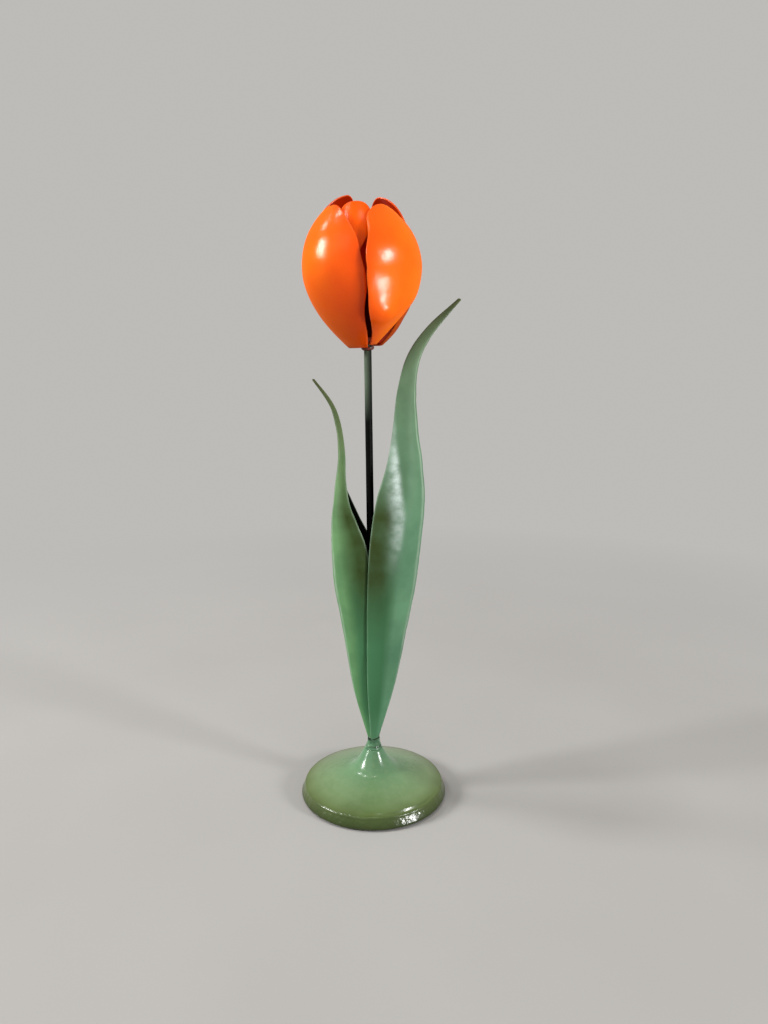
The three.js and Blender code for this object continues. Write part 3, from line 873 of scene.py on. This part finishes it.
def stem_finish():
    finish = Finish("stem_lacquer")
    streak = finish.noise(60, 3, (1, 1, 0.15))
    # Painted shadow: the lower stem is near black
    low = finish.ramp(streak, [(0.3, (0.0008, 0.001, 0.0008)), (0.7, (0.002, 0.003, 0.002))])
    # Painted light: the upper stem is lighter green on its left side and dark on its right
    worn = finish.ramp(streak, [(0.3, (0.1, 0.135, 0.092)), (0.7, (0.155, 0.2, 0.145))])
    dark = finish.ramp(streak, [(0.3, (0.008, 0.012, 0.008)), (0.7, (0.016, 0.022, 0.015))])
    high = finish.mix(finish.mark("side"), dark, worn)
    finish.colour(finish.mix(finish.range(finish.mark("height"), *STEM_LIT_HEIGHTS, 0, 1), low, high))
    finish.roughness(finish.range(finish.noise(90, 3, (1, 1, 0.2)), 0.3, 0.7, 0.38, 0.52))
    finish.bump([(finish.noise(500, 2, (1, 1, 0.1)), 0.2, 0.0002)])
    finish.set(ior=1.15)
    return finish.material


def collar_finish():
    finish = Finish("collar_lacquer")
    finish.colour(finish.ramp(finish.noise(400, 3), [
        (0.3, (0.04, 0.006, 0.003)),
        (0.7, (0.16, 0.016, 0.005)),
    ]))
    finish.roughness(finish.range(finish.noise(300, 2), 0.3, 0.7, 0.3, 0.5))
    finish.bump([(finish.noise(600, 2), 0.4, 0.0003)])
    finish.set(ior=1.5)
    return finish.material


def pad_finish():
    finish = Finish("pad_rubber")
    finish.colour(finish.ramp(finish.noise(300, 3), [
        (0.3, (0.01, 0.01, 0.01)),
        (0.7, (0.022, 0.021, 0.02)),
    ]))
    finish.roughness(finish.range(finish.noise(500, 2), 0.3, 0.7, 0.75, 0.95))
    finish.bump([(finish.noise(1500, 2), 0.3, 0.0001)])
    return finish.material


# The pieces of the object

STILL = Matrix.Identity(4)


def make_petals():
    finish = petal_finish()
    for name, petal in PETALS.items():
        grid = hammered(petal_grid(petal), PETAL_DENTS, petal["seed"])
        points, faces, rim = sheet(grid, PETAL_SHEET)
        height = points[:, 2]
        count = grid.shape[0] * grid.shape[1]
        outer = np.full(len(points), 0.5)
        outer[:count] = 0
        outer[count:2 * count] = 1
        # deep marks painted shade low on the front left petal and on the inner petals, and a painted shadow
        # of the front right petal's edge on the back right petal
        deep = petal["shade"] * grown(height, *SHADE_DARK)
        if name.startswith("inner"):
            deep = grown(height, *INNER_SHADE)
        if name == "outer_petal_back_right":
            deep = EDGE_SHADOW_STRENGTH * grown(height, *EDGE_SHADOW) * grown(turn_of(points), *EDGE_SHADOW_TURN)
        middle, growth = petal["warm"]
        across = np.tile(np.linspace(-1, 1, PETAL_COLUMNS + 1), 2 * grid.shape[0])
        warm = np.full(len(points), middle)
        warm[:2 * count] = np.clip(middle + growth * across, 0, 1)
        gloss = petal["gloss"] * (1 - deep)
        marks = dict(rim=rim, outer=outer, deep=deep, warm=warm, gloss=gloss)
        add_piece(name, points, faces, FLOWER, finish, marks)


def beaten_patch(along, across):
    """Strength of the painted highlight beside the near lip, with a faint tail below it."""
    aside = -across - HIGHLIGHT_PLACE - HIGHLIGHT_SLANT * np.maximum(0, along - SLANT_HEIGHT)
    width = np.where(aside > 0, HIGHLIGHT_LIP_WIDTH, HIGHLIGHT_WIDTH)
    highlight_strength = bell((along - HIGHLIGHT_HEIGHT) / HIGHLIGHT_LENGTH)
    highlight_strength += TAIL_STRENGTH * bell((along - TAIL_HEIGHT) / TAIL_LENGTH)
    return np.minimum(1, highlight_strength) * bell(aside / width)


def make_leaves():
    for name, leaf in LEAVES.items():
        finish = leaf_finish(name + "_lacquer", leaf["blue"], leaf["pale"])
        grid = hammered(leaf_grid(leaf), LEAF_DENTS, leaf["seed"])
        grid = hammered(grid, LEAF_FINE_DENTS, leaf["seed"] + FINE_SEED)
        points, faces, rim = sheet(grid, LEAF_SHEET)
        count = grid.shape[0] * grid.shape[1]
        both = slice(0, 2 * count)
        height = points[:, 2]
        along = height[both]
        across = np.tile(np.linspace(-1, 1, LEAF_COLUMNS + 1), 2 * grid.shape[0])
        share = (height - LEAF_FOOT) / leaf["length"]
        # crease is painted shade where the leaves meet the weld
        crease = CREASE_STRENGTH * bell((height - LEAF_FOOT - CREASE_HEIGHT) / CREASE_WIDTH)
        outer = np.ones(len(points))
        outer[slice(0, count) if leaf["side"] > 0 else slice(count, 2 * count)] = 0
        keel, olive, shade, beaten = np.zeros((4, len(points)))
        # keel marks the painted highlight beside the keel
        keel[both] = grown(np.abs(across + KEEL_LINE), KEEL_LINE_WIDTH, KEEL_LINE_WIDTH)
        inward = np.clip((-across - leaf["tint_and_shade_start"]) / (TINT_AND_SHADE_FULL - leaf["tint_and_shade_start"]), 0, 1)
        # olive is part tint and part painted shade; shade is painted shade low along the near lip
        olive[both] = inward * np.interp(along, OLIVE_HEIGHTS, OLIVE_STRENGTHS)
        spread = np.minimum(1, SHADE_SPREAD * inward)
        shade[both] = spread * np.interp(along, SHADE_HEIGHTS, SHADE_STRENGTHS)
        if name == "large_leaf":
            beaten[both] = beaten_patch(along, across)
        marks = dict(rim=rim, share=share, outer=outer, keel=keel, olive=olive, shade=shade)
        marks.update(beaten=beaten, crease=crease)
        add_piece(name, points, faces, PLANT, finish, marks)


def foot_profile():
    """Outline of the foot from the axis below, round the rim, up to the neck and into the socket."""
    lip = (FOOT_RADIUS, PAD_THICKNESS + RIM_LIP)
    edge = (FOOT_RADIUS - RIM_LIP, PAD_THICKNESS)
    wall_top = (SHOULDER_RADIUS, SHOULDER - SHOULDER_ROUND)
    start = SHOULDER_RADIUS - SHOULDER_ROUND
    dome_edge = (start, SHOULDER + DOME_EASE)
    middle = (start + FLARE_RADIUS) / 2
    crest = (SHOULDER + DOME_EASE + DOME_TOP) / 2 + DOME_BULGE
    slope = (DOME_TOP - crest) / (middle - FLARE_RADIUS)
    flare = (FLARE_RADIUS, DOME_TOP)
    flare_on = (FLARE_RADIUS - FLARE_REACH, DOME_TOP + slope * FLARE_REACH)
    neck_under = (NECK_RADIUS + FLARE_SPREAD, NECK_TOP - FLARE_LIFT)
    socket = STEM_RADIUS + STEM_CLEARANCE
    profile = [(0, PAD_THICKNESS)]
    profile += curve([(0, PAD_THICKNESS), edge], EDGE_STEPS)
    profile += curve([edge, (FOOT_RADIUS, PAD_THICKNESS), lip], EDGE_STEPS)
    profile += curve([lip, wall_top], EDGE_STEPS)
    profile += curve([wall_top, (SHOULDER_RADIUS, SHOULDER), dome_edge], SHOULDER_STEPS)
    profile += curve([dome_edge, (middle, crest), flare], DOME_STEPS)
    profile += curve([flare, flare_on, neck_under, (NECK_RADIUS, NECK_TOP)], FLARE_STEPS)
    profile += [(socket, NECK_TOP), (socket, NECK_TOP - SOCKET_DEPTH), (0, NECK_TOP - SOCKET_DEPTH)]
    return profile


def make_foot():
    points, faces = turned(foot_profile(), FOOT_SEGMENTS)
    radius = np.hypot(points[:, 0], points[:, 1])
    wavy = np.clip((points[:, 2] - PAD_THICKNESS) / FOOT_WAVE_START, 0, 1)
    wavy *= radius > STEM_RADIUS + STEM_CLEARANCE + FOOT_SKIN
    points = swollen(points, bumps(points, FOOT_WAVE_SIDE) * wavy)
    points[:, 2] += bumps(points, FOOT_WAVE_UP) * wavy * (radius < SHOULDER_RADIUS)
    share = np.clip((radius - NECK_RADIUS) / (FOOT_RADIUS - NECK_RADIUS), 0, 1)
    # front marks the painted shade towards the front of the foot
    front = np.clip(-points[:, 1] / np.maximum(radius, 1), 0, 1) ** 2
    lumpy = np.interp(radius, LUMPY_RADII, LUMPY_STRENGTHS)
    dome = np.interp(radius, FLECK_RADII, (1, 0))
    lean = -LEAN * np.clip(points[:, 2] - PAD_THICKNESS, 0, LEAN_HEIGHT) * (radius > RIM_START)
    lean *= bell((turn_of(points) - LEAN_TURN) / LEAN_WIDTH)
    marks = dict(share=share, front=front, lumpy=lumpy, dome=dome, lean=lean)
    add_piece("foot", points, faces, STILL, foot_finish(), marks)


def make_pad():
    top = PAD_THICKNESS - SEAM
    profile = [(0, 0), (PAD_RADIUS / 2, 0), (PAD_RADIUS - PAD_ROUND, 0)]
    profile += curve([(PAD_RADIUS - PAD_ROUND, 0), (PAD_RADIUS, 0), (PAD_RADIUS, PAD_ROUND)], PAD_STEPS)
    profile += [(PAD_RADIUS, top), (PAD_RADIUS / 2, top), (0, top)]
    points, faces = turned(profile, PAD_SEGMENTS)
    add_piece("foot_pad", points, faces, STILL, pad_finish())


def make_weld():
    bore = STEM_RADIUS + STEM_CLEARANCE
    foot = (NECK_RADIUS, SEAM)
    top = (WELD_TOP_RADIUS, WELD_HEIGHT)
    profile = [(bore, SEAM), foot]
    profile += curve([foot, (WELD_TOP_RADIUS, WELD_HEIGHT / 2), top], WELD_STEPS)
    profile += [(bore, WELD_HEIGHT)]
    points, faces = turned(profile, WELD_SEGMENTS)
    height = points[:, 2]
    radius = np.hypot(points[:, 0], points[:, 1])
    lump = bumps(points, WELD_LUMPS) + bumps(points, WELD_FINE_LUMPS)
    lump *= (radius > bore + WELD_SKIN) * np.clip(height, 0, 1)
    points = swollen(points, lump)
    lower = bell((height - WELD_CREASE_HEIGHT) / WELD_CREASE_WIDTH)
    lower *= np.clip(WELD_CREASE_FULL + bumps(points, WELD_CREASE_BREAKS), 0, 1)
    slanted_top = WELD_HEIGHT + WELD_CREASE_SLANT * points[:, 0] / WELD_TOP_RADIUS
    upper = grown(slanted_top - height, *WELD_TOP_CREASE)
    place = Matrix.Translation((0, 0, NECK_TOP))
    marks = dict(crease=np.maximum(lower, upper))
    add_piece("neck_weld", points, faces, place, weld_finish(), marks)


def make_stem():
    bottom = WELD_GAP - SOCKET_DEPTH
    top = FLOWER_HEIGHT - NECK_TOP + 2 * PETAL_SHEET
    inner = STEM_RADIUS - STEM_CHAMFER
    profile = [(0, bottom), (inner, bottom), (STEM_RADIUS, bottom + STEM_CHAMFER)]
    heights = np.linspace(bottom + STEM_END, top - STEM_END, STEM_STEPS)
    profile += [(STEM_RADIUS, height) for height in heights]
    profile += [(STEM_RADIUS, top - STEM_CHAMFER), (inner, top), (0, top)]
    points, faces = turned(profile, STEM_SEGMENTS)
    wobble = bumps(points * STEM_STRETCH, STEM_WOBBLE)
    points[:, :2] *= (1 + wobble / STEM_RADIUS)[:, None]
    # side marks the painted light on the left of the stem
    side = np.clip(STEM_LIT_SIDE - STEM_LIT_FALL * points[:, 0] / STEM_RADIUS, 0, 1)
    marks = dict(height=points[:, 2], side=side)
    add_piece("stem", points, faces, PLANT, stem_finish(), marks)


def make_collar_and_cap():
    finish = collar_finish()
    bore = STEM_RADIUS + STEM_CLEARANCE
    bottom = (bore, -COLLAR_HEIGHT)
    belly = (bore + 2 * COLLAR_WALL, -COLLAR_HEIGHT / 2)
    profile = [bottom]
    profile += curve([bottom, belly, (bore + COLLAR_WALL, 0)], COLLAR_STEPS)
    profile += [(bore, 0)]
    points, faces = turned(profile, COLLAR_SEGMENTS)
    radius = np.hypot(points[:, 0], points[:, 1])
    points = swollen(points, bumps(points, COLLAR_LUMPS) * (radius > bore + COLLAR_SKIN))
    place = FLOWER @ Matrix.Translation((0, 0, -WELD_GAP))
    add_piece("petal_collar", points, faces, place, finish)
    profile = [(0, 0), (CAP_RADIUS / 2, 0), (CAP_RADIUS, 0)]
    profile += curve([(CAP_RADIUS, 0), (CAP_RADIUS, CAP_HEIGHT), (0, CAP_HEIGHT)], CAP_STEPS)
    points, faces = turned(profile, COLLAR_SEGMENTS)
    points[:, 2] += bumps(points, CAP_LUMPS) * np.clip(points[:, 2], 0, 1)
    place = FLOWER @ Matrix.Translation((0, 0, UPPER_FLOOR + PETAL_SHEET / 2 + WELD_GAP))
    add_piece("petal_cap", points, faces, place, finish)


# Stage, light and camera

BACKDROP = (0.51, 0.5, 0.48, 1)
DAYLIGHT = (1, 0.97, 0.93, 1)
DAYLIGHT_STRENGTH = 0.4

# In metres: half the floor, how far out it turns into the backdrop, and the height of the object's middle
FLOOR_REACH = 6
FLOOR_FADE = (0.3, 0.9)
LAMP_CENTRE = 0.26

# Soft boxes round the middle of the object: azimuth (0 is the front, 90 the right) and elevation in
# degrees, distance, width and height in metres, power in watts, spread of the beam in degrees, and the
# height in metres that it is aimed at
SOFTBOXES = {
    "key_left": (-77, 24, 3.5, 0.85, 0.85, 104, 180, LAMP_CENTRE),
    "key_right": (60, 18, 3.5, 0.6, 0.7, 70, 180, LAMP_CENTRE),
    "low_right": (54, -9, 0.61, 0.19, 0.045, 0.15, 50, 0.38),
    "fill": (-30, 35, 4, 2.6, 2.6, 12, 180, LAMP_CENTRE),
    "top": (10, 80, 1.5, 0.2, 0.2, 1.2, 180, LAMP_CENTRE),
    "top_left": (-103, 48, 1.8, 0.24, 0.24, 6, 180, LAMP_CENTRE),
    "high_left": (-89, 67, 1.8, 0.2, 0.2, 5, 180, LAMP_CENTRE),
}


def seen(nodes, links):
    """Socket that is 1 for what is seen, straight or mirrored, and 0 for the light on things."""
    path = nodes.new("ShaderNodeLightPath").outputs
    found = path["Is Camera Ray"]
    for kind in ("Is Glossy Ray", "Is Transmission Ray"):
        either = nodes.new("ShaderNodeMath")
        either.operation = "MAXIMUM"
        links.new(found, either.inputs[0])
        links.new(path[kind], either.inputs[1])
        found = either.outputs["Value"]
    return found


def floor_finish():
    """Pale paper near the object, which keeps its shadow, and the plain backdrop further out."""
    finish = Finish("floor_paper")
    in_view = seen(finish.nodes, finish.links)
    paper = finish.ramp(finish.noise(6, 3), [(0.3, (0.4, 0.39, 0.375)), (0.7, (0.42, 0.41, 0.395))])
    finish.colour(finish.mix(in_view, (0.26, 0.255, 0.25), paper))
    finish.set(roughness=0.85, specular_ior_level=0)
    far = finish.nodes.new("ShaderNodeVectorMath")
    far.operation = "LENGTH"
    finish.link(finish.place, far.inputs[0])
    outer = finish.range(far.outputs["Value"], *FLOOR_FADE, 0, 1)
    backdrop = finish.nodes.new("ShaderNodeEmission")
    backdrop.inputs["Color"].default_value = BACKDROP
    blend = finish.nodes.new("ShaderNodeMixShader")
    finish.link(finish.times(outer, in_view), blend.inputs["Fac"])
    finish.link(finish.shader.outputs["BSDF"], blend.inputs[1])
    finish.link(backdrop.outputs["Emission"], blend.inputs[2])
    finish.link(blend.outputs["Shader"], finish.nodes["Material Output"].inputs["Surface"])
    return finish.material


def make_stage():
    corners = [(x * FLOOR_REACH, y * FLOOR_REACH, 0) for x, y in ((-1, -1), (1, -1), (1, 1), (-1, 1))]
    mesh = bpy.data.meshes.new("floor")
    mesh.from_pydata(corners, [], [(0, 1, 2, 3)])
    mesh.materials.append(floor_finish())
    floor = bpy.data.objects.new("floor", mesh)
    bpy.context.scene.collection.objects.link(floor)


def add_softbox(name, azimuth, elevation, distance, width, height, power, spread, aim):
    turn = radians(azimuth)
    rise = radians(elevation)
    away = Vector((math.sin(turn) * math.cos(rise), -math.cos(turn) * math.cos(rise), math.sin(rise)))
    lamp = bpy.data.lights.new(name, "AREA")
    lamp.shape = "RECTANGLE"
    lamp.size = width
    lamp.size_y = height
    lamp.energy = power
    lamp.spread = radians(spread)
    box = bpy.data.objects.new(name, lamp)
    box.location = Vector((0, 0, LAMP_CENTRE)) + away * distance
    back = box.location - Vector((0, 0, aim))
    box.rotation_euler = back.to_track_quat("Z", "Y").to_euler()
    box.visible_camera = False
    bpy.context.scene.collection.objects.link(box)


def make_light():
    world = bpy.data.worlds.new("studio")
    world.use_nodes = True
    nodes = world.node_tree.nodes
    links = world.node_tree.links
    nodes["Background"].inputs["Color"].default_value = DAYLIGHT
    nodes["Background"].inputs["Strength"].default_value = DAYLIGHT_STRENGTH
    backdrop = nodes.new("ShaderNodeBackground")
    backdrop.inputs["Color"].default_value = BACKDROP
    blend = nodes.new("ShaderNodeMixShader")
    links.new(seen(nodes, links), blend.inputs["Fac"])
    links.new(nodes["Background"].outputs["Background"], blend.inputs[1])
    links.new(backdrop.outputs["Background"], blend.inputs[2])
    links.new(blend.outputs["Shader"], nodes["World Output"].inputs["Surface"])
    bpy.context.scene.world = world
    for name, values in SOFTBOXES.items():
        add_softbox(name, *values)


def make_camera():
    lens = bpy.data.cameras.new("camera")
    lens.sensor_width = CAMERA_SENSOR
    lens.lens = CAMERA_LENS
    camera = bpy.data.objects.new("camera", lens)
    camera.location = CAMERA_PLACE
    camera.rotation_euler = (radians(CAMERA_PITCH), 0, 0)
    bpy.context.scene.collection.objects.link(camera)
    bpy.context.scene.camera = camera
    bpy.context.scene.view_settings.view_transform = "Standard"


make_camera()
make_foot()
make_pad()
make_weld()
make_stem()
make_leaves()
make_petals()
make_collar_and_cap()
make_stage()
make_light()

bpy.context.view_layer.update()
